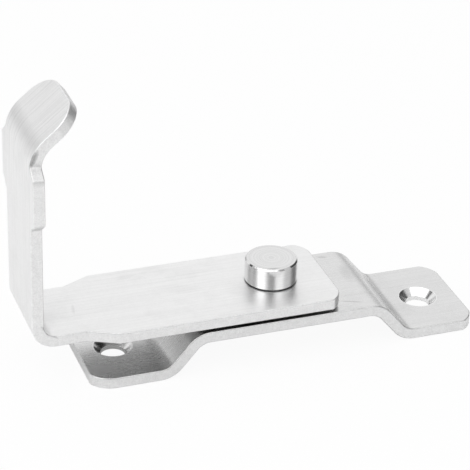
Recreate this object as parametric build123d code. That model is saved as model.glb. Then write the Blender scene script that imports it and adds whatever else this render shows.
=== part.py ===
"""Swing-arm door latch, bent from flat stainless strip.

Millimetres. +X runs along the base strip, away from the hook, and +Z away from the mounting surface.
The origin is the middle of the line between the two screw holes, on the mounting surface.
"""

import os
from math import cos, radians, sin, sqrt, tan

from build123d import *

# Strip stock
strip_width = 30.0
strip_thickness = 3.0
edge_break = 0.25
corner_blend = 1.2

# Base bracket
base_length = 105.2
strip_shift = 0.5
bridge_height = 9.0
bridge_top_length = 50.5
ramp_angle = 50.0
base_bend_radius = 4.5
foot_corner_radius = 7.0
left_corner_run = 5.6
left_corner_side = 3.8
right_corner_run = 3.5
right_corner_side = 4.6

# Screw holes
hole_pitch = 85.4
hole_diameter = 6.4
countersink_diameter = 10.0
countersink_angle = 90.0

# Swing arm
arm_end = 14.9
arm_gap = 0.9
arm_bend_radius = 3.0
arm_corner_radius = 7.0
arm_corner_run = 3.0
arm_corner_side = 4.4
neck_width = 23.0
taper_start = 45.2
taper_end = 52.6

# Upright tab and flare
tab_reach = 66.7
tab_fold_height = 54.3
tab_bend_radius = 7.5
wide_from = 36.3
wide_to = 48.5
lower_shoulder_rise = 2.9
upper_shoulder_rise = 2.3
flare_width = 23.6
flare_length = 15.2
flare_angle = 50.0
flare_corner_radius = 7.4

# Pivot pin
head_diameter = 13.7
head_height = 6.15
head_chamfer = 0.4
shank_diameter = 9.0
tenon_diameter = 6.0
rivet_diameter = 9.0
rivet_height = 1.6

# Friction washer
washer_diameter = 19.0

# Clearances
running_clearance = 0.05
seat_clearance = 0.05

# Heights above the mounting surface
bridge_top = bridge_height + strip_thickness
arm_bottom = bridge_top + arm_gap
arm_top = arm_bottom + strip_thickness
head_bottom = arm_top + running_clearance
half_width = strip_width / 2


def fold_shift(angle):
    """How far the corner of the outer face lies beyond that of the inner face at a fold."""
    return strip_thickness * tan(radians(angle / 2))


def corner_arc(corner, run, side, radius):
    """The two ends and the middle of the arc that clips a plate's corner.

    run is measured along X from the corner, and side along Y. The signs point into the plate.
    """
    start = Vector(corner[0] + run, corner[1])
    end = Vector(corner[0], corner[1] + side)
    middle = (start + end) / 2
    half_chord = (end - start).length / 2
    sagitta = radius - sqrt(radius**2 - half_chord**2)
    outward = (Vector(*corner) - middle).normalized()
    return start, middle + outward * sagitta, end


def plate_outline(points):
    """A closed face through points, where a tuple of three vectors is an arc."""
    edges = []
    last = None
    first = None
    for item in points:
        if isinstance(item, tuple):
            begin, middle, finish = item
            arc = ThreePointArc(begin, middle, finish)
        else:
            begin = finish = item
            arc = None
        if last is not None and (begin - last).length > 1e-6:
            edges.append(Line(last, begin))
        if arc is not None:
            edges.append(arc)
        first = begin if first is None else first
        last = finish
    if (first - last).length > 1e-6:
        edges.append(Line(last, first))
    return make_face(Wire(edges))


def strip_body(upper, lower, width):
    """A bent strip: its upper and lower profile lines in XZ, joined at the ends and carried across the width."""
    profile = make_face(
        Wire(
            upper.edges()
            + lower.edges()
            + [Line(upper @ 0, lower @ 0), Line(upper @ 1, lower @ 1)]
        )
    )
    return extrude(profile, amount=width / 2, both=True)


def broken_edges(body):
    """The body with its sharp edges broken. Edges where two faces run on smoothly are left alone."""

    def is_sharp(edge):
        middle = edge @ 0.5
        normals = [face.normal_at(middle) for face in body.faces() if edge in face.edges()]
        return len(normals) == 2 and normals[0].get_angle(normals[1]) > 1

    return chamfer(body.edges().filter_by(is_sharp), edge_break)


def make_base_bracket():
    """The base strip. Its ends and folds lie a little to the right of the middle between its holes."""
    inner = base_bend_radius
    outer = base_bend_radius + strip_thickness
    ramp_run = bridge_height / tan(radians(ramp_angle))
    bridge_half = bridge_top_length / 2
    foot_fold = bridge_half + ramp_run
    shift = fold_shift(ramp_angle)
    end = base_length / 2

    def profile(height, offset, radii):
        points = [
            (-end, 0, height),
            (-foot_fold + offset, 0, height),
            (-bridge_half + offset, 0, height + bridge_height),
            (bridge_half - offset, 0, height + bridge_height),
            (foot_fold - offset, 0, height),
            (end, 0, height),
        ]
        return FilletPolyline(*points, radius=radii)

    upper = profile(strip_thickness, 0, [inner, outer, outer, inner])
    lower = profile(0, shift, [outer, inner, inner, outer])
    body = strip_body(upper, lower, strip_width)

    near_left = corner_arc((-end, -half_width), left_corner_run, left_corner_side, foot_corner_radius)
    far_left = corner_arc((-end, half_width), left_corner_run, -left_corner_side, foot_corner_radius)
    near_right = corner_arc((end, -half_width), -right_corner_run, right_corner_side, foot_corner_radius)
    far_right = corner_arc((end, half_width), -right_corner_run, -right_corner_side, foot_corner_radius)
    outline = plate_outline([near_left, far_left[::-1], far_right, near_right[::-1]])
    blank = extrude(outline, amount=bridge_top + 1)
    blank = fillet(blank.edges().filter_by(Axis.Z), corner_blend)
    body = Pos(strip_shift, 0, 0) * broken_edges(body & blank)

    for x in (-hole_pitch / 2, hole_pitch / 2):
        body -= screw_hole(x)
    body -= Pos(0, 0, bridge_height + strip_thickness / 2) * Cylinder(
        tenon_diameter / 2 + seat_clearance, strip_thickness * 2
    )
    return body


def screw_hole(x):
    """The space that a countersunk screw takes in a foot."""
    hole = hole_diameter / 2
    rim = countersink_diameter / 2
    depth = (rim - hole) / tan(radians(countersink_angle / 2))
    above = 1.0
    wide = rim + above * tan(radians(countersink_angle / 2))
    profile = Polyline(
        (0, 0, -above),
        (hole, 0, -above),
        (hole, 0, strip_thickness - depth),
        (wide, 0, strip_thickness + above),
        (0, 0, strip_thickness + above),
        close=True,
    )
    return Pos(x, 0, 0) * revolve(make_face(profile), Axis.Z)


def make_swing_arm():
    inner = arm_bend_radius
    outer = arm_bend_radius + strip_thickness
    fold = fold_shift(flare_angle)
    direction = Vector(sin(radians(flare_angle)), 0, cos(radians(flare_angle)))
    normal = Vector(cos(radians(flare_angle)), 0, -sin(radians(flare_angle)))
    outer_fold = Vector(-tab_reach, 0, tab_fold_height)
    inner_fold = Vector(-tab_reach + strip_thickness, 0, tab_fold_height - fold)
    outer_tip = outer_fold + direction * flare_length
    inner_tip = outer_tip + normal * strip_thickness

    under = FilletPolyline(
        (arm_end, 0, 0),
        (-tab_reach, 0, 0),
        outer_fold,
        outer_tip,
        radius=[outer, tab_bend_radius + strip_thickness],
    )
    over = FilletPolyline(
        (arm_end, 0, strip_thickness),
        (-tab_reach + strip_thickness, 0, strip_thickness),
        inner_fold,
        inner_tip,
        radius=[inner, tab_bend_radius],
    )
    body = strip_body(over, under, strip_width)

    body -= plan_waste(outer)
    body -= tab_waste(outer)
    body -= flare_waste(outer_fold, direction, normal)
    body = broken_edges(body)
    body -= Cylinder(shank_diameter / 2 + running_clearance, strip_thickness * 4)
    return Pos(0, 0, arm_bottom) * body


def plan_waste(outer):
    """What is cut away beside the flat arm: its end corners, and the taper down to the neck."""
    neck = neck_width / 2
    beyond = tab_reach + 1
    margin = 2.0
    near = corner_arc((arm_end, -half_width), -arm_corner_run, arm_corner_side, arm_corner_radius)
    far = corner_arc((arm_end, half_width), -arm_corner_run, -arm_corner_side, arm_corner_radius)
    outline = plate_outline(
        [
            Vector(-beyond, -neck),
            Vector(-taper_end, -neck),
            Vector(-taper_start, -half_width),
            near,
            far[::-1],
            Vector(-taper_start, half_width),
            Vector(-taper_end, neck),
            Vector(-beyond, neck),
        ]
    )
    tall = outer + margin
    block = Pos((arm_end - beyond) / 2, 0, tall / 2 - 1) * Box(
        arm_end + beyond + margin, strip_width + margin, tall
    )
    keep = extrude(outline, amount=tall + margin, both=True)
    corners = keep.edges().filter_by(Axis.Z).filter_by(lambda edge: edge.center().X > -tab_reach)
    return block - fillet(corners, corner_blend)


def tab_waste(outer):
    """What is cut away beside the upright tab: the neck below the wide part, and the shoulders above it."""
    neck = neck_width / 2
    flare = flare_width / 2
    low = outer
    high = tab_fold_height + flare_length + 1
    lower_shoulder = wide_from - lower_shoulder_rise
    upper_shoulder = wide_to + upper_shoulder_rise
    right = [
        (neck, low),
        (neck, lower_shoulder),
        (half_width, wide_from),
        (half_width, wide_to),
        (flare, upper_shoulder),
        (flare, high),
    ]
    points = right + [(-y, z) for y, z in reversed(right)]
    outline = make_face(Polyline(*[(0, y, z) for y, z in points], close=True))
    depth = 2 * (flare_length + outer)
    margin = 2.0
    block = Pos(-tab_reach, 0, (low + high) / 2) * Box(depth, strip_width + margin, high - low)
    keep = Pos(-tab_reach, 0, 0) * extrude(outline, amount=depth, both=True)
    corners = keep.edges().filter_by(Axis.X).filter_by(
        lambda edge: low + 0.1 < edge.center().Z < high - 0.1
    )
    return block - fillet(corners, corner_blend)


def flare_waste(fold, direction, normal):
    """What is cut away at the two rounded corners of the flare's tip."""
    radius = flare_corner_radius
    half = flare_width / 2
    plane = Plane(origin=fold, x_dir=direction, z_dir=normal)
    side = 1 if plane.y_dir.Y > 0 else -1
    depth = strip_thickness * 4
    waste = []
    for sign in (1, -1):
        centre = plane.location * Pos(flare_length - radius, side * sign * (half - radius), 0)
        block = centre * Pos(radius / 2 + 0.5, side * sign * (radius / 2 + 0.5), 0) * Box(
            radius + 1, radius + 1, depth
        )
        waste.append(block - centre * Cylinder(radius, depth + 1))
    return waste


def make_pivot_pin():
    head = head_diameter / 2
    shank = shank_diameter / 2
    tenon = tenon_diameter / 2
    rivet = rivet_diameter / 2
    top = head_bottom + head_height
    rivet_top = bridge_height
    edge = rivet_height * 0.35
    outline = [
        Line((0, 0, rivet_top - rivet_height), (tenon, 0, rivet_top - rivet_height)),
        ThreePointArc(
            (tenon, 0, rivet_top - rivet_height),
            (rivet - (rivet - tenon) * 0.3, 0, rivet_top - rivet_height * 0.7),
            (rivet, 0, rivet_top - edge),
        ),
        Polyline(
            (rivet, 0, rivet_top - edge),
            (rivet, 0, rivet_top),
            (tenon, 0, rivet_top),
            (tenon, 0, bridge_top),
            (shank, 0, bridge_top),
            (shank, 0, head_bottom),
            (head - edge_break, 0, head_bottom),
            (head, 0, head_bottom + edge_break),
            (head, 0, top - head_chamfer),
            (head - head_chamfer, 0, top),
            (0, 0, top),
        ),
        Line((0, 0, top), (0, 0, rivet_top - rivet_height)),
    ]
    edges = [edge for piece in outline for edge in piece.edges()]
    return revolve(make_face(Wire(edges)), Axis.Z)


def make_friction_washer():
    thickness = arm_gap - running_clearance
    hole = shank_diameter / 2 + running_clearance
    ring = Cylinder(washer_diameter / 2, thickness) - Cylinder(hole, thickness * 2)
    return Pos(0, 0, bridge_top + thickness / 2) * ring


def main():
    os.makedirs("parts", exist_ok=True)
    pieces = {
        "base_bracket": make_base_bracket(),
        "swing_arm": make_swing_arm(),
        "pivot_pin": make_pivot_pin(),
        "friction_washer": make_friction_washer(),
    }
    for name, shape in pieces.items():
        export_step(shape, f"parts/{name}.step")


main()
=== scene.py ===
"""Satin stainless door latch on a white floor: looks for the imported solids.

Lengths are in millimetres until the meshes are placed, and metres from there on.
"""

import math

import bpy
from mathutils import Matrix, Vector
from mathutils.geometry import delaunay_2d_cdt


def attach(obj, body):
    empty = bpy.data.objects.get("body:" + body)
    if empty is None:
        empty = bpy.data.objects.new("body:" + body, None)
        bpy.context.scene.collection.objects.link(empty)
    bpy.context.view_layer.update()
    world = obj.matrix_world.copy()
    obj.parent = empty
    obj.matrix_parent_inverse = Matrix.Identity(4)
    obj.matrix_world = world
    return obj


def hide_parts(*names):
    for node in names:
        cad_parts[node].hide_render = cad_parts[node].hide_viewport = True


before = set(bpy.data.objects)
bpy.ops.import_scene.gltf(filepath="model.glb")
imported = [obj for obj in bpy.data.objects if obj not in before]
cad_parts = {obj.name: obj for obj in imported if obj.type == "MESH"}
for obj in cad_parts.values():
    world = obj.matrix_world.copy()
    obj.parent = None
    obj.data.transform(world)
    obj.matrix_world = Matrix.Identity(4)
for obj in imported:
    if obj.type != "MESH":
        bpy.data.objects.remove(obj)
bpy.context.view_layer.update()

MM = 0.001

# Strip stock
THICKNESS = 3.0
HALF_WIDTH = 15.0
EDGE_ROUNDING = 0.3
CORNER_BLEND = 1.2

# Base bracket
BASE_LENGTH = 105.2
STRIP_SHIFT = 0.5
BRIDGE_HEIGHT = 9.0
BRIDGE_TOP_LENGTH = 50.5
RAMP_ANGLE = 50.0
BASE_BEND = 4.5
FOOT_CORNER = 7.0
LEFT_CORNER = (5.6, 3.8)
RIGHT_CORNER = (3.5, 4.6)
HOLE_PITCH = 85.4
SCREW_BORE = 3.2
COUNTERSINK = 5.0
TENON_HOLE = 3.05

# Swing arm
ARM_BOTTOM = 12.9
ARM_END = 14.9
ARM_BEND = 3.0
ARM_ANGLE = 90.0
ARM_CORNER = 7.0
ARM_CORNER_CLIP = (3.0, 4.4)
ARM_HOLE = 4.55
NECK_HALF = 11.5
TAPER_START = 45.2
TAPER_END = 52.6
TAB_REACH = 66.7
TAB_FOLD_HEIGHT = 54.3
TAB_BEND = 7.5
WIDE_FROM = 36.3
WIDE_TO = 48.5
LOWER_RISE = 2.9
UPPER_RISE = 2.3
FLARE_HALF = 11.8
FLARE_LENGTH = 15.2
FLARE_ANGLE = 50.0
FLARE_TIP = 7.4

# Pivot pin and washer
HEAD_BOTTOM = 15.95
HEAD_TOP = 22.1
HEAD_RADIUS = 6.85
HEAD_CHAMFER = 0.4
HEAD_FOOT_CHAMFER = 0.3
SHANK_RADIUS = 4.5
TENON_RADIUS = 3.0
RIVET_RADIUS = 4.5
RIVET_HEIGHT = 1.6
RIVET_CROWN_INSET = 0.45
RIVET_CROWN_SHARE = 0.3
RIVET_SIDE_SHARE = 0.65
BRIDGE_TOP = 12.0
WASHER_RADIUS = 9.5
WASHER_THICKNESS = 0.85

# Fineness of the meshes: a bend's step in degrees, and counts
BEND_STEP = 3.0
FEWEST_BEND_STEPS = 8
FLARE_TIP_STEPS = 20
HOLE_STEPS = 96
TURNED_STEPS = 160

# Small roundings, and how far a hole's profile reaches over the faces round it
BORE_ROUNDING = 0.12
BORE_LAP = 0.2
TURNED_ROUNDING = 0.1

# How near two points, directions or fold rows are when they count as one
SAME_POINT = 1e-5
SAME_DIRECTION = 1e-4
SAME_ROW = 1e-4
SAME_LENGTH = 1e-9
SAME_CORNER = 1e-7
ON_ROW = 0.02
ON_AXIS = 1e-6

# Which of a strip's three materials a polygon takes
ON_FACE = 0
ON_EDGE = 1
IN_BORE = 2

# Stretches of a strip, along it from its first end, over which its finish or its painted shade changes
# Painted shade: the arm's lower face is darkened up to this stretch, where the shade fades out
ARM_UNDERSIDE_SHADE_UNTIL = (66.0, 76.0)
ARM_CLEAR_FROM = (112.0, 122.0)
RIM_TONE_CHANGE = (72.0, 80.0)
PAST_THE_END = (200.0, 210.0)

# Patterns: features to a metre, along, across and up a strip where there are three
FINE_HAIRLINES = (90.0, 5200.0, 5200.0)
COARSE_HAIRLINES = (30.0, 1300.0, 1300.0)
HAIRLINE_BANDS = (12.0, 260.0, 260.0)
HAZE_CLOUDS = 90.0
COARSE_SPECKLE = 900.0
FINE_SPECKLE = 2600.0
BORE_RINGS = 4000.0
TURNING_RINGS = 2200.0

# The span that a noise's values mostly keep to, a wider one, and the part of it that shows as haze
NOISE_SPAN = (0.35, 0.65)
WIDE_NOISE_SPAN = (0.3, 0.7)
HAZE_SPAN = (0.5, 0.75)

# What each effect adds to a metal's tone or roughness. A pair is for the two ends of a noise's span
HAIRLINE_TONES = (-0.03, 0.03)
BAND_TONES = (-0.01, 0.01)
FACE_SPECKLE_TONES = (-0.022, 0.018)
EDGE_SPECKLE_TONES = (-0.075, 0.065)
BORE_RING_TONES = (-0.08, 0.08)
TURNING_TONES = (-0.08, 0.05)
HAZE_TONE = -0.055
# Painted shade: how much darker a strip's lower face is made, so that what mirrors it looks shaded
UNDERSIDE_SHADE_TONE = -0.5
HAIRLINE_ROUGHNESS = (-0.03, 0.03)
TURNING_ROUGHNESS = (-0.04, 0.05)
HAZE_ROUGHNESS = 0.06
RIM_ROUGHNESS = -0.03

# Bumps: (strength, depth in millimetres)
HAIRLINE_BUMP = (0.15, 0.04)
SPECKLE_BUMP = (0.45, 0.06)
BORE_RING_BUMP = (0.3, 0.05)
TURNING_BUMP = (0.12, 0.03)

# How many times clearer the hairlines are on the flare and just below it
FLARE_CLEARNESS = 2.4

# The even core of a soft mark, as a share of its area
MARK_CORE = 0.15

# The painted shade at the foot of the pin's head, where it sits on the arm: its heights from the head's
# lower face, and its tone
FOOT_UNDERSIDE = -0.3
FOOT_TOP = (0.25, 0.42)
FOOT_SHADE_TONE = 0.06

# Soft marks: (centre, direction, half length, half width, change of tone)
ARM_FACE_MARKS = [
    ((-53.2, -0.3, 15.9), (0.2, 1, 0), 2.9, 0.5, -0.08),
    ((-36.0, 11.5, 15.9), (1, 0.2, 0), 3.6, 1.5, -0.04),
    ((-24.0, 1.5, 15.9), (1, -0.4, 0), 6.0, 3.0, -0.03),
]
BASE_FACE_MARKS = [
    ((19.6, 12.7, 12.0), (1, -0.3, 0), 1.6, 0.6, -0.14),
    ((18.3, -11.1, 12.0), (1, -0.4, 0), 3.4, 0.4, -0.16),
    ((22.4, 2.5, 12.0), (0.1, 1, 0), 5.5, 1.6, -0.06),
]
ARM_EDGE_MARKS = [
    ((-65.9, -11.8, 65.6), (0.5, 0, 0.87), 3.0, 1.1, -0.4),
    ((-65.2, -13.4, 62.5), (1, 0, 0), 3.4, 3.2, -0.19),
    # Painted shade: a darker patch on the tab's lower shoulder, which faces down towards the floor that the
    # arm shades
    ((-65.2, -13.2, 47.6), (1, 0, 0), 2.4, 1.9, -0.16),
    ((-62.4, -11.4, 17.3), (0.7, 0, -0.7), 3.2, 0.6, -0.4),
    ((-50.0, -14.0, 15.7), (1, -0.4, 0), 7.0, 0.6, -0.2),
]
PIN_MARKS = [
    ((-1.8, -5.6, 22.1), (1, -0.1, 0), 2.2, 0.5, -0.2),
    ((0.2, -6.75, 21.95), (1, 0, 0), 1.3, 0.4, -0.6),
]

# Light and floor: places in metres, and a level or a white of 1 is full white
WORLD_LEVEL = 0.64
HORIZON_LEVEL = 0.5
HORIZON_TOP = 0.4
SEEN_WHITE = 0.94
FLOOR_WHITE_MIRRORED = 0.15
SKY_WHITE_MIRRORED = 0.1
FLOOR_HALF_SIZE = 4.0
FLOOR_DROP = 0.0002
FLOOR_GREY = 0.9
FLOOR_ROUGHNESS = 0.9
FLAG_ROUGHNESS = 1.0
LATCH_MIDDLE = (-0.01, 0, 0.02)

# Camera: angles in radians, its place in millimetres, and the range that it sees in metres
CAMERA_AZIMUTH = 0.356
CAMERA_ELEVATION = 0.508
CAMERA_ROLL = 0.032
CAMERA_DISTANCE = 561.53
CAMERA_RISE = 25.09
CAMERA_STEP_LEFT = 8.765
CAMERA_LENS = 163.25
SENSOR_WIDTH = 36.0
NEAREST_SEEN = 0.01
FARTHEST_SEEN = 50.0


# Outlines

def unit(x, y):
    """The direction of (x, y), one long."""
    length = math.hypot(x, y)
    return (x / length, y / length)


def between(a, b, share):
    """The point that share of the way from a to b."""
    return (a[0] + (b[0] - a[0]) * share, a[1] + (b[1] - a[1]) * share)


def straight(a, b):
    """A straight run of an outline that is walked anticlockwise. Each point carries its outward normal."""
    dx, dy = unit(b[0] - a[0], b[1] - a[1])
    return [(a, (dy, -dx)), (b, (dy, -dx))]


def bulge(begin, finish, radius, steps=12):
    """A run that bulges outwards from begin to finish, with that radius."""
    dx, dy = finish[0] - begin[0], finish[1] - begin[1]
    half = math.hypot(dx, dy) / 2
    nx, ny = unit(dy, -dx)
    depth = math.sqrt(radius**2 - half**2)
    cx = (begin[0] + finish[0]) / 2 - nx * depth
    cy = (begin[1] + finish[1]) / 2 - ny * depth
    first = math.atan2(begin[1] - cy, begin[0] - cx)
    last = math.atan2(finish[1] - cy, finish[0] - cx)
    while last < first:
        last += 2 * math.pi
    run = []
    for i in range(steps + 1):
        angle = first + (last - first) * i / steps
        out = (math.cos(angle), math.sin(angle))
        run.append(((cx + radius * out[0], cy + radius * out[1]), out))
    return run


def cut_back(run, distance):
    """The run without its first stretch of that length."""
    left = distance
    for i in range(len(run) - 1):
        (a, na), (b, nb) = run[i], run[i + 1]
        length = math.hypot(b[0] - a[0], b[1] - a[1])
        if length > left:
            share = left / length
            return [(between(a, b, share), unit(*between(na, nb, share)))] + run[i + 1:]
        left -= length
    raise ValueError("a corner's rounding is longer than the run beside it")


def joined(runs, radius, closed=True, steps=5):
    """The runs as one line of points with normals, with every corner between them rounded."""
    count = len(runs)
    cuts = []
    for i, run in enumerate(runs):
        a, b = run[-1][1], runs[(i + 1) % count][0][1]
        turn = math.acos(max(-1.0, min(1.0, a[0] * b[0] + a[1] * b[1])))
        last_of_open = i == count - 1 and not closed
        sharp = turn >= SAME_DIRECTION and not last_of_open
        cuts.append(radius * math.tan(turn / 2) if sharp else 0.0)
    trimmed = []
    for i, run in enumerate(runs):
        run = cut_back(run, cuts[i - 1]) if cuts[i - 1] else run
        trimmed.append(cut_back(run[::-1], cuts[i])[::-1] if cuts[i] else run)
    line = []
    for i, run in enumerate(trimmed):
        line.extend(run)
        if cuts[i]:
            corner = runs[i][-1][0]
            (a, na), (b, nb) = run[-1], trimmed[(i + 1) % count][0]
            for k in range(1, steps):
                share = k / steps
                point = between(between(a, corner, share), between(corner, b, share), share)
                line.append((point, unit(*between(na, nb, share))))
    kept = []
    for item in line:
        if not kept or math.dist(item[0], kept[-1][0]) > SAME_POINT:
            kept.append(item)
    if closed and math.dist(kept[0][0], kept[-1][0]) < SAME_POINT:
        kept.pop()
    return kept


# Folding

class FoldPath:
    """A strip's way through its bends. s runs along it at mid-thickness, and h up from its lower face.

    runs is a list of (straight length, bend angle, inner radius), with the angle in degrees. A positive
    angle bends towards the upper face. rows are the places along the strip where a bend has a row of points.
    """

    def __init__(self, origin, heading, up, runs):
        self.parts = []
        self.rows = []
        s = 0.0
        point, along, normal = Vector(origin), Vector(heading), Vector(up)
        for length, angle, inner in runs:
            self.parts.append((s, 0.0, 0.0, point.copy(), along.copy(), normal.copy()))
            s += length
            point = point + along * length
            if not angle:
                continue
            sense = 1 if angle > 0 else -1
            centre_height = THICKNESS + inner if angle > 0 else -inner
            middle = inner + THICKNESS / 2
            turn = math.radians(abs(angle))
            self.parts.append((s, sense, centre_height, point.copy(), along.copy(), normal.copy()))
            count = max(FEWEST_BEND_STEPS, round(turn / math.radians(BEND_STEP)))
            self.rows += [s + middle * turn * i / count for i in range(count + 1)]
            centre = point + normal * centre_height
            s += middle * turn
            along, normal = self.turned(along, normal, sense * turn)
            point = centre - normal * centre_height
        self.length = s

    @staticmethod
    def turned(along, normal, angle):
        """Both directions, turned by that angle towards the upper face."""
        c, s = math.cos(angle), math.sin(angle)
        return along * c + normal * s, normal * c - along * s

    def place(self, s, h):
        """Where a point is, and the directions along the strip and out of its upper face there."""
        part = self.parts[0]
        for candidate in self.parts:
            if s >= candidate[0] - SAME_LENGTH:
                part = candidate
        begin, sense, centre_height, point, along, normal = part
        if not sense:
            return point + along * (s - begin) + normal * h, along, normal
        middle = abs(centre_height - THICKNESS / 2)
        a, n = self.turned(along, normal, sense * (s - begin) / middle)
        centre = point + normal * centre_height
        return centre - n * (centre_height - h), a, n


# Strips

def edge_profile(steps=5):
    """The edge of a strip in section, from its upper face to its lower.

    Each row is (offset, height, normal out, normal up, rim), and rim is 1 on the rounded rims.
    """
    r = EDGE_ROUNDING
    rows = []
    for i in range(steps + 1):
        angle = math.pi / 2 * i / steps
        rim = 1.0 if 0 < i < steps else 0.0
        out, up = math.sin(angle), math.cos(angle)
        rows.append((r * (out - 1), THICKNESS - r * (1 - up), out, up, rim))
    mirrored = [(offset, THICKNESS - height, out, -up, rim) for offset, height, out, up, rim in rows]
    return rows + mirrored[::-1]


def bore_profile(radius):
    """A plain bore in section, from the strip's upper face to its lower."""
    return joined(
        [
            straight((radius + BORE_LAP, THICKNESS), (radius, THICKNESS)),
            straight((radius, THICKNESS), (radius, 0)),
            straight((radius, 0), (radius + BORE_LAP, 0)),
        ],
        BORE_ROUNDING,
        closed=False,
    )


def countersunk_profile(bore, rim):
    """A bore with a right-angled countersink at the upper face, in section."""
    depth = rim - bore
    return joined(
        [
            straight((rim + BORE_LAP, THICKNESS), (rim, THICKNESS)),
            straight((rim, THICKNESS), (bore, THICKNESS - depth)),
            straight((bore, THICKNESS - depth), (bore, 0)),
            straight((bore, 0), (bore + BORE_LAP, 0)),
        ],
        BORE_ROUNDING,
        closed=False,
    )


def with_rows(outline, rows):
    """The outline with a point wherever it crosses a fold row."""
    full = []
    for i, (a, na) in enumerate(outline):
        b, nb = outline[(i + 1) % len(outline)]
        full.append((a, na))
        low, high = min(a[0], b[0]), max(a[0], b[0])
        inside = sorted((s for s in rows if low + SAME_ROW < s < high - SAME_ROW), reverse=b[0] < a[0])
        for s in inside:
            share = (s - a[0]) / (b[0] - a[0])
            full.append((between(a, b, share), unit(*between(na, nb, share))))
    return full


def face_triangles(outer, holes, rows):
    """Triangles of a flat face with holes, given loops of (index, point)."""
    indexes, points, edges = [], [], []
    for loop in [outer] + holes:
        base = len(points)
        for index, point in loop:
            indexes.append(index)
            points.append(Vector(point))
        edges += [(base + i, base + (i + 1) % len(loop)) for i in range(len(loop))]
    for s in rows:
        on_row = [i for i, point in enumerate(points[: len(outer)]) if abs(point[0] - s) < ON_ROW]
        if len(on_row) >= 2:
            low = min(on_row, key=lambda i: points[i][1])
            high = max(on_row, key=lambda i: points[i][1])
            edges.append((low, high))
    out_points, _, faces, sources, _, _ = delaunay_2d_cdt(points, edges, [], 0, SAME_CORNER)
    if len(out_points) != len(points):
        raise ValueError("the face's loops cross")
    triangles = []
    for face in faces:
        middle = sum((out_points[i] for i in face), Vector((0, 0))) / len(face)
        if not inside_loop(middle, [p for _, p in outer]):
            continue
        if any(inside_loop(middle, [p for _, p in hole]) for hole in holes):
            continue
        triangles.append([indexes[sources[i][0]] for i in face])
    return triangles


def inside_loop(point, loop):
    """Whether the loop goes round the point."""
    x, y = point
    odd = False
    for i, (ax, ay) in enumerate(loop):
        bx, by = loop[i - 1]
        if (ay > y) != (by > y) and x < (bx - ax) * (y - ay) / (by - ay) + ax:
            odd = not odd
    return odd


def strip_piece(name, outline, holes, path, across, materials):
    """A strip cut to an outline, with rounded edges and bores, then folded along its path.

    across is -1 where the strip's own left side is the latch's -Y side, and else 1. materials are those of
    its faces, its cut edges and its bores.
    """
    outline = with_rows(outline, path.rows)
    flat, normals, rims, faces, kinds = [], [], [], [], []

    def add_loop(points):
        first = len(flat)
        for s, y, h, normal, rim in points:
            flat.append((s, y, h))
            normals.append(normal)
            rims.append(rim)
        return list(range(first, len(flat)))

    def add_wall(loops, kind, flip):
        for upper, lower in zip(loops, loops[1:]):
            count = len(upper)
            for i in range(count):
                j = (i + 1) % count
                quad = [upper[i], lower[i], lower[j], upper[j]]
                faces.append(quad[::-1] if flip else quad)
                kinds.append(kind)

    edge_loops = []
    for offset, height, out, up, rim in edge_profile():
        edge_loops.append(add_loop([
            (p[0] + n[0] * offset, p[1] + n[1] * offset, height, (n[0] * out, n[1] * out, up), rim)
            for p, n in outline
        ]))
    add_wall(edge_loops, ON_EDGE, False)

    top_holes, bottom_holes = [], []
    for s, profile in holes:
        loops = []
        for (radius, height), (out, up) in profile:
            loops.append(add_loop([
                (s + radius * math.cos(a), radius * math.sin(a), height,
                 (out * math.cos(a), out * math.sin(a), up), 0.0)
                for a in (2 * math.pi * i / HOLE_STEPS for i in range(HOLE_STEPS))
            ]))
        add_wall(loops, IN_BORE, True)
        top_holes.append(loops[0])
        bottom_holes.append(loops[-1])

    def numbered(loop):
        return [(i, (flat[i][0], flat[i][1])) for i in loop]

    for outer, inner, flip in ((edge_loops[0], top_holes, False), (edge_loops[-1], bottom_holes, True)):
        for triangle in face_triangles(numbered(outer), [numbered(h) for h in inner], path.rows):
            faces.append(triangle[::-1] if flip else triangle)
            kinds.append(ON_FACE)

    points, turned = [], []
    for (s, y, h), (ns, ny, nh) in zip(flat, normals):
        place, along, up = path.place(s, h)
        points.append(Vector((place[0], y * across, place[1])) * MM)
        direction = along * ns + up * nh
        turned.append(Vector((direction[0], ny * across, direction[1])).normalized())
    return make_piece(name, points, faces, turned, kinds, materials, flat, rims)


def make_piece(name, points, faces, normals, kinds, materials, flat, rims):
    """A mesh with its own normals.

    lay is each point's place on the unbent piece, and rim is 1 on the rounded rims.
    """
    mesh = bpy.data.meshes.new(name)
    mesh.from_pydata(points, [], faces)
    for material in materials:
        mesh.materials.append(material)
    mesh.polygons.foreach_set("material_index", kinds)
    mesh.polygons.foreach_set("use_smooth", [True] * len(faces))
    lay = mesh.attributes.new("lay", "FLOAT_VECTOR", "POINT")
    lay.data.foreach_set("vector", [value * MM for point in flat for value in point])
    rim = mesh.attributes.new("rim", "FLOAT", "POINT")
    rim.data.foreach_set("value", rims)
    mesh.validate()
    mesh.update()
    mesh.normals_split_custom_set_from_vertices(normals)
    piece = bpy.data.objects.new(name, mesh)
    bpy.context.scene.collection.objects.link(piece)
    return piece


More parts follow.
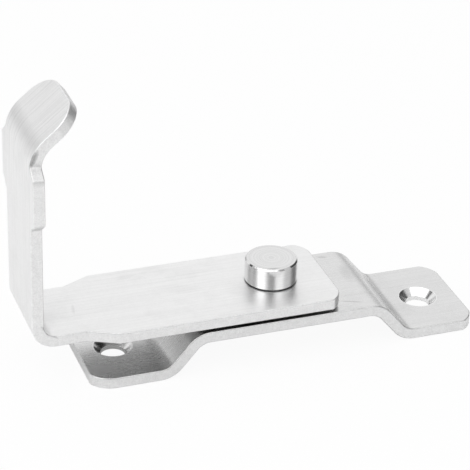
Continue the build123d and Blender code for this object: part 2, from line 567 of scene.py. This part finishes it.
def turned_piece(name, line, closed, material):
    """A turned piece: its half section, walked with the metal on the left, spun about the vertical axis."""
    flat, normals, faces, rings = [], [], [], []
    for (radius, height), (out, up) in line:
        if radius < ON_AXIS:
            flat.append((0.0, 0.0, height))
            normals.append(Vector((0, 0, up)))
            rings.append([len(flat) - 1])
            continue
        first = len(flat)
        for i in range(TURNED_STEPS):
            a = 2 * math.pi * i / TURNED_STEPS
            flat.append((radius * math.cos(a), radius * math.sin(a), height))
            normals.append(Vector((out * math.cos(a), out * math.sin(a), up)))
        rings.append(list(range(first, len(flat))))
    pairs = list(zip(rings, rings[1:]))
    if closed:
        pairs.append((rings[-1], rings[0]))
    for lower, upper in pairs:
        for i in range(TURNED_STEPS):
            j = (i + 1) % TURNED_STEPS
            if len(lower) == 1:
                faces.append([lower[0], upper[j], upper[i]])
            elif len(upper) == 1:
                faces.append([lower[i], lower[j], upper[0]])
            else:
                faces.append([lower[i], lower[j], upper[j], upper[i]])
    points = [Vector(p) * MM for p in flat]
    kinds = [ON_FACE] * len(faces)
    rims = [0.0] * len(flat)
    return make_piece(name, points, faces, normals, kinds, [material], flat, rims)


# Shader groups

def new_group(name, inputs, outputs):
    """An empty shader group with these sockets, and its nodes for what it is given and what it makes."""
    group = bpy.data.node_groups.new(name, "ShaderNodeTree")
    for label, kind in inputs:
        group.interface.new_socket(label, in_out="INPUT", socket_type=kind)
    for label, kind in outputs:
        group.interface.new_socket(label, in_out="OUTPUT", socket_type=kind)
    return group, group.nodes.new("NodeGroupInput"), group.nodes.new("NodeGroupOutput")


def math_node(tree, operation, a, b, clamp=False):
    """The result of a sum, a product or the like. a and b are sockets or plain numbers."""
    node = tree.nodes.new("ShaderNodeMath")
    node.operation = operation
    node.use_clamp = clamp
    for socket, value in zip(node.inputs, (a, b)):
        if isinstance(value, (int, float)):
            socket.default_value = value
        else:
            tree.links.new(value, socket)
    return node.outputs[0]


def total(tree, first, *others):
    value = first
    for other in others:
        value = math_node(tree, "ADD", value, other)
    return value


def product(tree, a, b):
    return math_node(tree, "MULTIPLY", a, b)


def mean(tree, a, b):
    return product(tree, total(tree, a, b), 0.5)


def vector_node(tree, operation, a, b=None):
    """The result of a vector operation. b is a socket, a plain vector or, for a length, nothing."""
    node = tree.nodes.new("ShaderNodeVectorMath")
    node.operation = operation
    tree.links.new(a, node.inputs[0])
    if isinstance(b, tuple):
        node.inputs[1].default_value = b
    elif b is not None:
        tree.links.new(b, node.inputs[1])
    return node.outputs["Value"] if operation in ("LENGTH", "DOT_PRODUCT") else node.outputs[0]


def separated(tree, vector):
    """The node that parts a vector into X, Y and Z."""
    node = tree.nodes.new("ShaderNodeSeparateXYZ")
    tree.links.new(vector, node.inputs[0])
    return node


def noise(tree, vector, scale, detail=2.0, roughness=0.5):
    node = tree.nodes.new("ShaderNodeTexNoise")
    node.inputs["Scale"].default_value = scale
    node.inputs["Detail"].default_value = detail
    node.inputs["Roughness"].default_value = roughness
    tree.links.new(vector, node.inputs["Vector"])
    return node.outputs[0]


def ranged(tree, value, span, results):
    """A value that goes from the first result to the second as the given one goes through the span."""
    node = tree.nodes.new("ShaderNodeMapRange")
    tree.links.new(value, node.inputs["Value"])
    node.inputs["From Min"].default_value, node.inputs["From Max"].default_value = span
    node.inputs["To Min"].default_value, node.inputs["To Max"].default_value = results
    return node.outputs[0]


def along_strip(tree, lay, stretch, results):
    """A value that goes from the first result to the second over a stretch of the strip."""
    begin, finish = stretch
    return ranged(tree, lay.outputs["X"], (begin * MM, finish * MM), results)


def grain_group():
    """Hairlines along the strip, and the slower drift from one band of them to the next."""
    group, given, made = new_group(
        "hairline grain",
        [("Lay", "NodeSocketVector")],
        [("Hairline", "NodeSocketFloat"), ("Band", "NodeSocketFloat")],
    )
    lay = given.outputs["Lay"]
    fine = noise(group, vector_node(group, "MULTIPLY", lay, FINE_HAIRLINES), 1.0)
    coarse = noise(group, vector_node(group, "MULTIPLY", lay, COARSE_HAIRLINES), 1.0)
    bands = noise(group, vector_node(group, "MULTIPLY", lay, HAIRLINE_BANDS), 1.0, detail=3.0)
    group.links.new(mean(group, fine, coarse), made.inputs["Hairline"])
    group.links.new(bands, made.inputs["Band"])
    return group


def haze_group():
    """Faint handling marks: cloudy patches a few millimetres across."""
    group, given, made = new_group(
        "handling haze",
        [("Place", "NodeSocketVector")],
        [("Haze", "NodeSocketFloat")],
    )
    clouds = noise(group, given.outputs["Place"], HAZE_CLOUDS, detail=4.0, roughness=0.6)
    group.links.new(ranged(group, clouds, HAZE_SPAN, (0.0, 1.0)), made.inputs["Haze"])
    return group


def speckle_group():
    """The frosted speckle that tumbling leaves on the metal, clearest on a cut edge."""
    group, given, made = new_group(
        "edge speckle",
        [("Place", "NodeSocketVector")],
        [("Speckle", "NodeSocketFloat")],
    )
    coarse = noise(group, given.outputs["Place"], COARSE_SPECKLE, detail=3.0, roughness=0.7)
    fine = noise(group, given.outputs["Place"], FINE_SPECKLE)
    group.links.new(mean(group, coarse, fine), made.inputs["Speckle"])
    return group


def mark_group():
    """One soft mark: 1 at its centre and 0 outside, drawn out along a direction."""
    group, given, made = new_group(
        "soft mark",
        [
            ("Place", "NodeSocketVector"),
            ("Centre", "NodeSocketVector"),
            ("Direction", "NodeSocketVector"),
            ("Length", "NodeSocketFloat"),
            ("Width", "NodeSocketFloat"),
        ],
        [("Mark", "NodeSocketFloat")],
    )
    length, width = given.outputs["Length"], given.outputs["Width"]
    away = vector_node(group, "SUBTRACT", given.outputs["Place"], given.outputs["Centre"])
    along = vector_node(group, "DOT_PRODUCT", away, given.outputs["Direction"])
    along_squared = product(group, along, along)
    away_squared = vector_node(group, "DOT_PRODUCT", away, away)
    aside_squared = math_node(group, "SUBTRACT", away_squared, along_squared)
    far_along = math_node(group, "DIVIDE", along_squared, product(group, length, length))
    far_aside = math_node(group, "DIVIDE", aside_squared, product(group, width, width))
    far = total(group, far_along, far_aside)
    group.links.new(ranged(group, far, (MARK_CORE, 1.0), (1.0, 0.0)), made.inputs["Mark"])
    return group


GRAIN = grain_group()
HAZE = haze_group()
SPECKLE = speckle_group()
MARK = mark_group()


# Materials

def placed(tree, group, label, source):
    """A node of the group, whose socket of that label is fed by the source."""
    node = tree.nodes.new("ShaderNodeGroup")
    node.node_tree = group
    tree.links.new(source, node.inputs[label])
    return node


def attribute(tree, name):
    node = tree.nodes.new("ShaderNodeAttribute")
    node.attribute_name = name
    return node


def object_place(tree):
    return tree.nodes.new("ShaderNodeTexCoord").outputs["Object"]


def marked(tree, tone, marks):
    """The tone with soft marks on it."""
    for centre, direction, length, width, change in marks:
        mark = placed(tree, MARK, "Place", object_place(tree))
        mark.inputs["Centre"].default_value = [value * MM for value in centre]
        mark.inputs["Direction"].default_value = Vector(direction).normalized()
        mark.inputs["Length"].default_value = length * MM
        mark.inputs["Width"].default_value = width * MM
        tone = total(tree, tone, product(tree, mark.outputs["Mark"], change))
    return tone


def metal(name, roughness):
    """A new metal, with its tree and its shader."""
    material = bpy.data.materials.new(name)
    material.use_nodes = True
    shader = material.node_tree.nodes["Principled BSDF"]
    shader.inputs["Metallic"].default_value = 1.0
    shader.inputs["Roughness"].default_value = roughness
    return material, material.node_tree, shader


def colour(tree, shader, tone):
    """Gives the shader that tone as a grey."""
    grey = tree.nodes.new("ShaderNodeCombineColor")
    for socket in grey.inputs:
        tree.links.new(tone, socket)
    tree.links.new(grey.outputs[0], shader.inputs["Base Color"])


def bump(tree, shader, height, form):
    """Gives the shader a relief, of that strength and depth."""
    strength, depth = form
    node = tree.nodes.new("ShaderNodeBump")
    node.inputs["Strength"].default_value = strength
    node.inputs["Distance"].default_value = depth * MM
    tree.links.new(height, node.inputs["Height"])
    tree.links.new(node.outputs[0], shader.inputs["Normal"])


def satin_face(name, base, roughness, shade_until, clear_from, marks):
    """The rolled and brushed face of a strip.

    Its lower face carries painted shade, a darker tone, and that fades out over the stretch shade_until.
    Its hairlines grow clearer over the stretch clear_from.
    """
    material, tree, shader = metal(name, roughness)
    lay = attribute(tree, "lay").outputs["Vector"]
    part = separated(tree, lay)
    grain = placed(tree, GRAIN, "Lay", lay)
    hairline = grain.outputs["Hairline"]
    haze = placed(tree, HAZE, "Place", object_place(tree)).outputs["Haze"]
    speckle = placed(tree, SPECKLE, "Place", object_place(tree)).outputs["Speckle"]

    # Painted shade on the lower face: darker below mid-thickness, fading out along the strip over
    # shade_until
    below = math_node(tree, "LESS_THAN", part.outputs["Z"], THICKNESS * MM / 2)
    lower = product(tree, below, along_strip(tree, part, shade_until, (1.0, 0.0)))
    clearer = along_strip(tree, part, clear_from, (1.0, FLARE_CLEARNESS))
    streak = product(tree, ranged(tree, hairline, NOISE_SPAN, HAIRLINE_TONES), clearer)
    band = ranged(tree, grain.outputs["Band"], NOISE_SPAN, BAND_TONES)
    smear = product(tree, haze, HAZE_TONE)
    spots = ranged(tree, speckle, NOISE_SPAN, FACE_SPECKLE_TONES)
    painted_underside_shade = product(tree, lower, UNDERSIDE_SHADE_TONE)
    colour(tree, shader, marked(tree, total(tree, streak, band, smear, base, spots, painted_underside_shade), marks))

    scratched = ranged(tree, hairline, WIDE_NOISE_SPAN, HAIRLINE_ROUGHNESS)
    rough = total(tree, scratched, product(tree, haze, HAZE_ROUGHNESS), roughness)
    tree.links.new(rough, shader.inputs["Roughness"])
    bump(tree, shader, hairline, HAIRLINE_BUMP)
    return material


def frosted_edge(name, base, roughness, rim_tones, marks):
    """A cut edge: frosted and speckled, with rims of one tone before the arm's fold and another past it."""
    material, tree, shader = metal(name, roughness)
    speckle = placed(tree, SPECKLE, "Place", object_place(tree)).outputs["Speckle"]
    rim = attribute(tree, "rim").outputs["Fac"]
    lay = separated(tree, attribute(tree, "lay").outputs["Vector"])
    spots = ranged(tree, speckle, NOISE_SPAN, EDGE_SPECKLE_TONES)
    rim_tone = product(tree, rim, along_strip(tree, lay, RIM_TONE_CHANGE, rim_tones))
    colour(tree, shader, marked(tree, total(tree, spots, rim_tone, base), marks))
    rough = total(tree, product(tree, rim, RIM_ROUGHNESS), roughness)
    tree.links.new(rough, shader.inputs["Roughness"])
    bump(tree, shader, speckle, SPECKLE_BUMP)
    return material


def drilled_wall(name, base, roughness):
    """Cut rings round a hole's wall, by how high they stand in the strip."""
    material, tree, shader = metal(name, roughness)
    lay = separated(tree, attribute(tree, "lay").outputs["Vector"])
    height = tree.nodes.new("ShaderNodeCombineXYZ")
    tree.links.new(lay.outputs["Z"], height.inputs["Z"])
    rings = noise(tree, height.outputs[0], BORE_RINGS)
    colour(tree, shader, total(tree, ranged(tree, rings, WIDE_NOISE_SPAN, BORE_RING_TONES), base))
    bump(tree, shader, rings, BORE_RING_BUMP)
    return material


def turned_metal(name, base, roughness, marks):
    """Bright turned metal: rings on the end faces, fine feed lines round the side, and painted shade at the
    foot of the head.
    """
    material, tree, shader = metal(name, roughness)
    place = object_place(tree)
    radius = vector_node(tree, "LENGTH", vector_node(tree, "MULTIPLY", place, (1.0, 1.0, 0.0)))
    height = separated(tree, place).outputs["Z"]
    section = tree.nodes.new("ShaderNodeCombineXYZ")
    tree.links.new(radius, section.inputs["X"])
    tree.links.new(height, section.inputs["Z"])
    rings = noise(tree, section.outputs[0], TURNING_RINGS, detail=3.0, roughness=0.6)

    # Painted shade: the head's foot, where it meets the arm, is darkened to a small share of its tone
    dark, bright = ((HEAD_BOTTOM + rise) * MM for rise in FOOT_TOP)
    above_foot = ranged(tree, height, (dark, bright), (FOOT_SHADE_TONE, 1.0))
    below_foot = math_node(tree, "LESS_THAN", height, (HEAD_BOTTOM + FOOT_UNDERSIDE) * MM)
    foot = math_node(tree, "MAXIMUM", above_foot, below_foot)
    tone = total(tree, ranged(tree, rings, WIDE_NOISE_SPAN, TURNING_TONES), base)
    colour(tree, shader, marked(tree, product(tree, tone, foot), marks))

    rough = total(tree, ranged(tree, rings, WIDE_NOISE_SPAN, TURNING_ROUGHNESS), roughness)
    tree.links.new(rough, shader.inputs["Roughness"])
    bump(tree, shader, rings, TURNING_BUMP)
    return material


# Pieces

def base_outline(length):
    """The base strip's outline before it is bent: a long rectangle whose four corners are cut in bulges."""
    half = HALF_WIDTH
    left_run, left_side = LEFT_CORNER
    right_run, right_side = RIGHT_CORNER
    return joined(
        [
            bulge((0, -half + left_side), (left_run, -half), FOOT_CORNER),
            straight((left_run, -half), (length - right_run, -half)),
            bulge((length - right_run, -half), (length, -half + right_side), FOOT_CORNER),
            straight((length, -half + right_side), (length, half - right_side)),
            bulge((length, half - right_side), (length - right_run, half), FOOT_CORNER),
            straight((length - right_run, half), (left_run, half)),
            bulge((left_run, half), (0, half - left_side), FOOT_CORNER),
            straight((0, half - left_side), (0, -half + left_side)),
        ],
        CORNER_BLEND,
    )


def make_base_bracket(materials):
    """The strip that is screwed down: two feet, two ramps and the raised bridge."""
    half_turn = math.tan(math.radians(RAMP_ANGLE / 2))
    inner, outer = BASE_BEND, BASE_BEND + THICKNESS
    rise = BRIDGE_HEIGHT / math.sin(math.radians(RAMP_ANGLE))
    ramp = rise - (inner + outer) * half_turn
    run = BRIDGE_HEIGHT / math.tan(math.radians(RAMP_ANGLE))
    foot = BASE_LENGTH / 2 - BRIDGE_TOP_LENGTH / 2 - run - inner * half_turn
    bridge = BRIDGE_TOP_LENGTH - 2 * outer * half_turn
    path = FoldPath(
        (STRIP_SHIFT - BASE_LENGTH / 2, 0),
        (1, 0),
        (0, 1),
        [
            (foot, RAMP_ANGLE, inner),
            (ramp, -RAMP_ANGLE, inner),
            (bridge, -RAMP_ANGLE, inner),
            (ramp, RAMP_ANGLE, inner),
            (foot, 0, 0),
        ],
    )
    inset = (BASE_LENGTH - HOLE_PITCH) / 2
    holes = [
        (inset - STRIP_SHIFT, countersunk_profile(SCREW_BORE, COUNTERSINK)),
        (path.length / 2 - STRIP_SHIFT, bore_profile(TENON_HOLE)),
        (path.length - inset - STRIP_SHIFT, countersunk_profile(SCREW_BORE, COUNTERSINK)),
    ]
    return strip_piece("base_strip", base_outline(path.length), holes, path, 1, materials)


def make_swing_arm(materials):
    """The strip that swings: the flat arm, the upright tab with its wider part, and the flare over it."""
    flare_turn = math.tan(math.radians(FLARE_ANGLE / 2))
    outer_bend = ARM_BEND + THICKNESS
    fold_cut = (TAB_BEND + THICKNESS) * flare_turn
    flat = ARM_END + TAB_REACH - outer_bend
    tab = TAB_FOLD_HEIGHT - outer_bend - fold_cut
    path = FoldPath(
        (ARM_END, ARM_BOTTOM),
        (-1, 0),
        (0, 1),
        [(flat, ARM_ANGLE, ARM_BEND), (tab, FLARE_ANGLE, TAB_BEND), (FLARE_LENGTH - fold_cut, 0, 0)],
    )
    tab_begin = flat + (ARM_BEND + THICKNESS / 2) * math.radians(ARM_ANGLE)
    end = path.length

    def on_arm(x):
        return ARM_END + x

    def on_tab(z):
        return tab_begin + z - outer_bend

    run, side = ARM_CORNER_CLIP
    half, neck, flare = HALF_WIDTH, NECK_HALF, FLARE_HALF
    below = [
        (on_arm(TAPER_START), -half),
        (on_arm(TAPER_END), -neck),
        (on_tab(WIDE_FROM - LOWER_RISE), -neck),
        (on_tab(WIDE_FROM), -half),
        (on_tab(WIDE_TO), -half),
        (on_tab(WIDE_TO + UPPER_RISE), -flare),
        (end - FLARE_TIP, -flare),
    ]
    above = [(s, -y) for s, y in reversed(below)]
    runs = [bulge((0, -half + side), (run, -half), ARM_CORNER)]
    points = [(run, -half)] + below
    runs += [straight(a, b) for a, b in zip(points, points[1:])]
    runs.append(bulge((end - FLARE_TIP, -flare), (end, -flare + FLARE_TIP), FLARE_TIP, FLARE_TIP_STEPS))
    runs.append(straight((end, -flare + FLARE_TIP), (end, flare - FLARE_TIP)))
    runs.append(bulge((end, flare - FLARE_TIP), (end - FLARE_TIP, flare), FLARE_TIP, FLARE_TIP_STEPS))
    points = above + [(run, half)]
    runs += [straight(a, b) for a, b in zip(points, points[1:])]
    runs.append(bulge((run, half), (0, half - side), ARM_CORNER))
    runs.append(straight((0, half - side), (0, -half + side)))
    holes = [(ARM_END, bore_profile(ARM_HOLE))]
    return strip_piece("arm_strip", joined(runs, CORNER_BLEND), holes, path, -1, materials)


def make_pivot_pin(material):
    """The pin that the arm turns on: head, shank, tenon and the rivet that the tenon is closed into."""
    rivet_low = BRIDGE_HEIGHT - RIVET_HEIGHT
    points = [
        (0, rivet_low),
        (TENON_RADIUS, rivet_low),
        (RIVET_RADIUS - RIVET_CROWN_INSET, rivet_low + RIVET_HEIGHT * RIVET_CROWN_SHARE),
        (RIVET_RADIUS, rivet_low + RIVET_HEIGHT * RIVET_SIDE_SHARE),
        (RIVET_RADIUS, BRIDGE_HEIGHT),
        (TENON_RADIUS, BRIDGE_HEIGHT),
        (TENON_RADIUS, BRIDGE_TOP),
        (SHANK_RADIUS, BRIDGE_TOP),
        (SHANK_RADIUS, HEAD_BOTTOM),
        (HEAD_RADIUS - HEAD_FOOT_CHAMFER, HEAD_BOTTOM),
        (HEAD_RADIUS, HEAD_BOTTOM + HEAD_FOOT_CHAMFER),
        (HEAD_RADIUS, HEAD_TOP - HEAD_CHAMFER),
        (HEAD_RADIUS - HEAD_CHAMFER, HEAD_TOP),
        (0, HEAD_TOP),
    ]
    runs = [straight(a, b) for a, b in zip(points, points[1:])]
    return turned_piece("pin", joined(runs, TURNED_ROUNDING, closed=False), False, material)


def make_friction_washer(material):
    """The washer round the shank, between the bridge and the arm."""
    low, high = BRIDGE_TOP, BRIDGE_TOP + WASHER_THICKNESS
    corners = [(ARM_HOLE, low), (WASHER_RADIUS, low), (WASHER_RADIUS, high), (ARM_HOLE, high)]
    runs = [straight(a, b) for a, b in zip(corners, corners[1:] + corners[:1])]
    return turned_piece("washer", joined(runs, TURNED_ROUNDING), True, material)


arm_face = satin_face(
    "satin arm face",
    base=0.91,
    roughness=0.38,
    shade_until=ARM_UNDERSIDE_SHADE_UNTIL,
    clear_from=ARM_CLEAR_FROM,
    marks=ARM_FACE_MARKS,
)
base_face = satin_face(
    "satin base face",
    base=0.755,
    roughness=0.26,
    shade_until=PAST_THE_END,
    clear_from=PAST_THE_END,
    marks=BASE_FACE_MARKS,
)
arm_edge = frosted_edge(
    "frosted arm edge",
    base=0.88,
    roughness=0.45,
    rim_tones=(-0.12, 0.03),
    marks=ARM_EDGE_MARKS,
)
base_edge = frosted_edge(
    "frosted base edge",
    base=0.84,
    roughness=0.45,
    rim_tones=(-0.14, -0.14),
    marks=[],
)
arm_bore = drilled_wall("arm bore wall", base=0.8, roughness=0.25)
screw_bore = drilled_wall("screw hole wall", base=0.88, roughness=0.22)
pin_metal = turned_metal("bright turned pin", base=0.78, roughness=0.12, marks=PIN_MARKS)
washer_metal = turned_metal("plain washer", base=0.62, roughness=0.3, marks=[])

base = make_base_bracket([base_face, base_edge, screw_bore])
arm = make_swing_arm([arm_face, arm_edge, arm_bore])
pin = make_pivot_pin(pin_metal)
washer = make_friction_washer(washer_metal)

for piece, body, node, slot in (
    (base, "base", "base_bracket", "base_strip"),
    (arm, "arm", "swing_arm", "arm_strip"),
    (pin, "base", "pivot_pin", "turned_pin"),
    (washer, "base", "friction_washer", "washer"),
):
    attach(piece, body)
    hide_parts(node)


# Floor, light and camera

def dull_grey(name, tone, roughness):
    """A dull material of that grey, with its tree and its shader."""
    material = bpy.data.materials.new(name)
    material.use_nodes = True
    shader = material.node_tree.nodes["Principled BSDF"]
    shader.inputs["Base Color"].default_value = (tone, tone, tone, 1)
    shader.inputs["Roughness"].default_value = roughness
    shader.inputs["Specular IOR Level"].default_value = 0.0
    return material, material.node_tree, shader


def show_white(tree, shade, output, mirrored_white):
    """Whitens what the camera sees of the floor or the sky, and a little what the metal mirrors of it."""
    path = tree.nodes.new("ShaderNodeLightPath")
    glossy, through = path.outputs["Is Glossy Ray"], path.outputs["Is Transmission Ray"]
    mirrored = math_node(tree, "ADD", glossy, through, clamp=True)
    in_view = product(tree, path.outputs["Is Camera Ray"], SEEN_WHITE)
    seen = total(tree, in_view, product(tree, mirrored, mirrored_white))
    white = tree.nodes.new("ShaderNodeEmission")
    mix = tree.nodes.new("ShaderNodeMixShader")
    tree.links.new(seen, mix.inputs[0])
    tree.links.new(shade, mix.inputs[1])
    tree.links.new(white.outputs[0], mix.inputs[2])
    tree.links.new(mix.outputs[0], tree.nodes[output].inputs["Surface"])


def make_floor():
    """A wide white floor, a hair below the feet."""
    half = FLOOR_HALF_SIZE
    corners = [(-half, -half, 0), (half, -half, 0), (half, half, 0), (-half, half, 0)]
    mesh = bpy.data.meshes.new("floor")
    mesh.from_pydata(corners, [], [(0, 1, 2, 3)])
    floor = bpy.data.objects.new("floor", mesh)
    floor.location.z = -FLOOR_DROP
    bpy.context.scene.collection.objects.link(floor)
    material, tree, shader = dull_grey("white floor", FLOOR_GREY, FLOOR_ROUGHNESS)
    show_white(tree, shader.outputs[0], "Material Output", FLOOR_WHITE_MIRRORED)
    mesh.materials.append(material)


def make_world():
    """A white studio, a little darker towards the horizon."""
    world = bpy.data.worlds.new("white studio")
    world.use_nodes = True
    bpy.context.scene.world = world
    tree = world.node_tree
    background = tree.nodes["Background"]
    background.inputs["Color"].default_value = (1, 1, 1, 1)
    direction = separated(tree, tree.nodes.new("ShaderNodeTexCoord").outputs["Generated"])
    level = ranged(tree, direction.outputs["Z"], (0.0, HORIZON_TOP), (HORIZON_LEVEL, WORLD_LEVEL))
    tree.links.new(level, background.inputs["Strength"])
    show_white(tree, background.outputs[0], "World Output", SKY_WHITE_MIRRORED)


def sky_place(azimuth, elevation, distance):
    """A place round the latch, with angles in degrees. Azimuth 0 is in front of it and 90 to its right."""
    a, e = math.radians(azimuth), math.radians(elevation)
    return Vector((math.sin(a) * math.cos(e), -math.cos(a) * math.cos(e), math.sin(e))) * distance


def facing(place):
    """A turn that points an object's own -Z axis at the latch."""
    return (Vector(LATCH_MIDDLE) - place).to_track_quat("-Z", "Y").to_matrix().to_4x4()


def make_softbox(name, azimuth, elevation, distance, size, level):
    """A soft lamp of that width and height. level is the white it shows."""
    place = sky_place(azimuth, elevation, distance)
    data = bpy.data.lights.new(name, "AREA")
    data.shape = "RECTANGLE"
    data.size, data.size_y = size
    data.energy = level * math.pi * size[0] * size[1]
    lamp = bpy.data.objects.new(name, data)
    lamp.matrix_world = Matrix.Translation(place) @ facing(place)
    lamp.visible_camera = False
    bpy.context.scene.collection.objects.link(lamp)


def make_flag(name, azimuths, elevations, distance, tone, across=12, up=4):
    """A curved dark cloth, hung out of the picture, that keeps light off from one side."""
    points, faces = [], []
    for j in range(up + 1):
        elevation = elevations[0] + (elevations[1] - elevations[0]) * j / up
        for i in range(across + 1):
            azimuth = azimuths[0] + (azimuths[1] - azimuths[0]) * i / across
            points.append(sky_place(azimuth, elevation, distance))
    for j in range(up):
        for i in range(across):
            k = j * (across + 1) + i
            faces.append((k, k + 1, k + across + 2, k + across + 1))
    mesh = bpy.data.meshes.new(name)
    mesh.from_pydata(points, [], faces)
    flag = bpy.data.objects.new(name, mesh)
    flag.visible_camera = False
    bpy.context.scene.collection.objects.link(flag)
    material, _, _ = dull_grey(name, tone, FLAG_ROUGHNESS)
    mesh.materials.append(material)


def make_camera():
    """The camera stands in front of the latch, a little to its left, and looks down on it."""
    back = Vector((
        -math.sin(CAMERA_AZIMUTH) * math.cos(CAMERA_ELEVATION),
        -math.cos(CAMERA_AZIMUTH) * math.cos(CAMERA_ELEVATION),
        math.sin(CAMERA_ELEVATION),
    ))
    level = Vector((math.cos(CAMERA_AZIMUTH), -math.sin(CAMERA_AZIMUTH), 0))
    rise = back.cross(level)
    right = level * math.cos(CAMERA_ROLL) + rise * math.sin(CAMERA_ROLL)
    up = rise * math.cos(CAMERA_ROLL) - level * math.sin(CAMERA_ROLL)
    data = bpy.data.cameras.new("camera")
    data.sensor_width = SENSOR_WIDTH
    data.lens = CAMERA_LENS
    data.clip_start = NEAREST_SEEN
    data.clip_end = FARTHEST_SEEN
    camera = bpy.data.objects.new("camera", data)
    place = (back * CAMERA_DISTANCE + up * CAMERA_RISE - right * CAMERA_STEP_LEFT) * MM
    turn = Matrix((right, up, back)).transposed()
    camera.matrix_world = Matrix.Translation(place) @ turn.to_4x4()
    bpy.context.scene.collection.objects.link(camera)
    bpy.context.scene.camera = camera


make_floor()
make_world()
make_softbox("left softbox", azimuth=-68, elevation=44, distance=1.0, size=(1.05, 1.15), level=1.13)
make_softbox("right softbox", azimuth=18, elevation=40, distance=1.0, size=(0.6, 0.6), level=0.8)
make_softbox("overhead softbox", azimuth=0, elevation=78, distance=1.1, size=(1.0, 1.0), level=0.6)
make_softbox("back softbox", azimuth=180, elevation=35, distance=1.3, size=(2.4, 0.9), level=0.3)
make_flag("front flag", azimuths=(-46, 2), elevations=(12, 44), distance=1.6, tone=0.08)
make_flag("right flag", azimuths=(80, 122), elevations=(0, 48), distance=1.6, tone=0.1)
make_flag("left back flag", azimuths=(-139, -118), elevations=(30, 55), distance=1.6, tone=0.05)
make_camera()

scene = bpy.context.scene
scene.view_settings.view_transform = "Standard"
